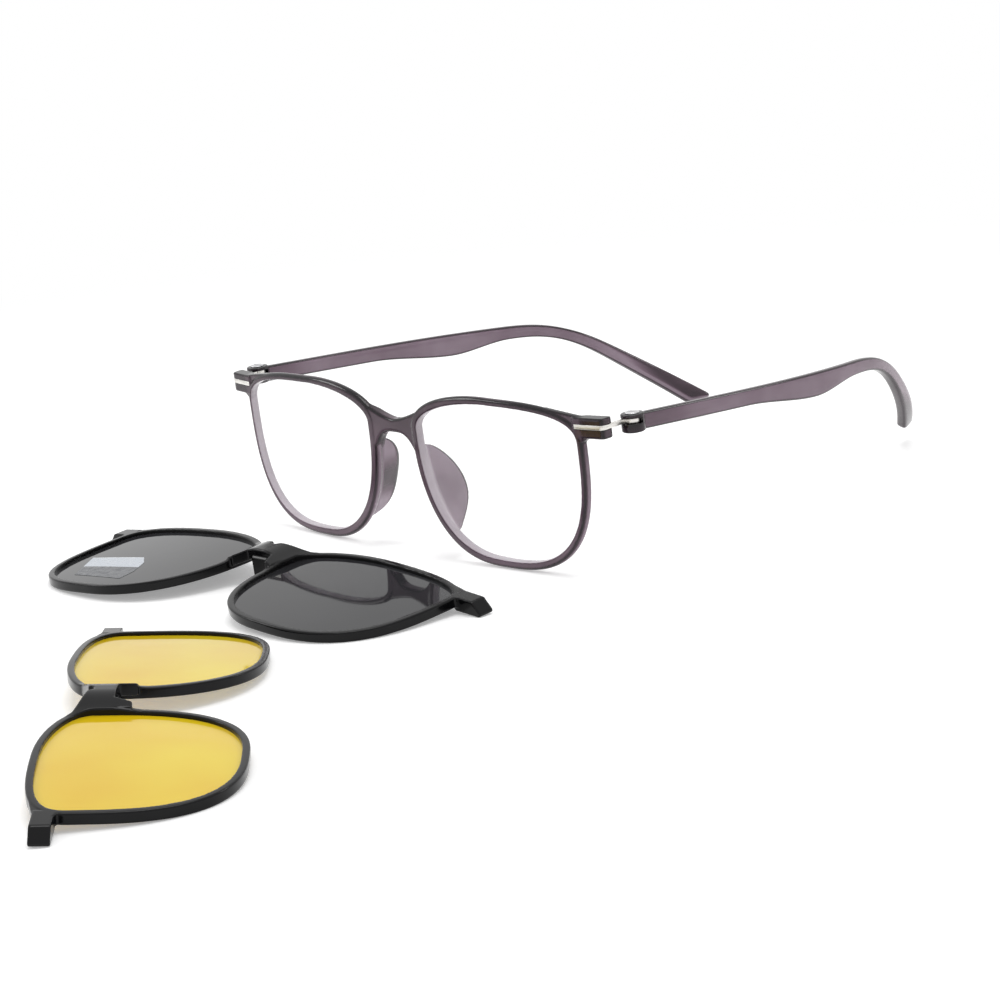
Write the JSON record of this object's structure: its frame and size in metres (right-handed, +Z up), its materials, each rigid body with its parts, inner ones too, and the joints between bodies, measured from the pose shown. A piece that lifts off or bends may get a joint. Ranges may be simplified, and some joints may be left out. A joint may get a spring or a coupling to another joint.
{
  "type": "clip-on eyeglasses",
  "caption": "Full-rim eyeglasses with folding temples, lying with a grey and a yellow magnetic clip-on sun front",
  "frame": {"origin": "centre of the bounding box's base, on the floor the glasses and clips lie on", "axes": "+Z up; +Y from the front towards the temple tips, along the row's longest extent; -Y is the way the wearer looks; +X to the wearer's left"},
  "size_m": [0.1854, 0.322, 0.0417],
  "materials": {
    "purple_plastic": "translucent purple-grey, polished",
    "demo_lens": "clear, thin",
    "hinge_metal": "satin, slightly warm",
    "magnet": "nickel-plated",
    "black_plastic": "satin black",
    "grey_lens": "polarised grey, reflective",
    "label_foil": "silver foil, blank",
    "yellow_lens": "clear yellow"
  },
  "bodies": {
    "front": {"front_frame": "purple_plastic", "demo_lens_left": "demo_lens", "demo_lens_right": "demo_lens", "hinge_strip_left": "hinge_metal", "hinge_strip_right": "hinge_metal", "front_magnet_left": "magnet", "front_magnet_right": "magnet"},
    "temple_left": {"temple_left": "purple_plastic", "hinge_pin_left": "hinge_metal"},
    "temple_right": {"temple_right": "purple_plastic", "hinge_pin_right": "hinge_metal"},
    "grey_clip": {"grey_clip_frame": "black_plastic", "grey_clip_lens_left": "grey_lens", "grey_clip_lens_right": "grey_lens", "grey_clip_magnet_left": "magnet", "grey_clip_magnet_right": "magnet", "grey_clip_label": "label_foil"},
    "yellow_clip": {"yellow_clip_frame": "black_plastic", "yellow_clip_lens_left": "yellow_lens", "yellow_clip_lens_right": "yellow_lens", "yellow_clip_magnet_left": "magnet", "yellow_clip_magnet_right": "magnet"}
  },
  "joints": [
    {"name": "temple_left_fold", "type": "hinge", "parent": "front", "child": "temple_left", "pos_m": [-0.08258, 0.0298, 0.03685], "axis": [0, 0.0454, -0.999], "range_deg": [0, 80]},
    {"name": "temple_right_fold", "type": "hinge", "parent": "front", "child": "temple_right", "pos_m": [0.05302, 0.0298, 0.03685], "axis": [0, -0.0454, 0.999], "range_deg": [0, 75]},
    {"name": "grey_clip_lift", "type": "slide", "parent": "front", "child": "grey_clip", "axis": [0, 0, 1], "range_m": [0, 0.06]},
    {"name": "yellow_clip_lift", "type": "slide", "parent": "front", "child": "yellow_clip", "axis": [0, 0, 1], "range_m": [0, 0.06]}
  ]
}
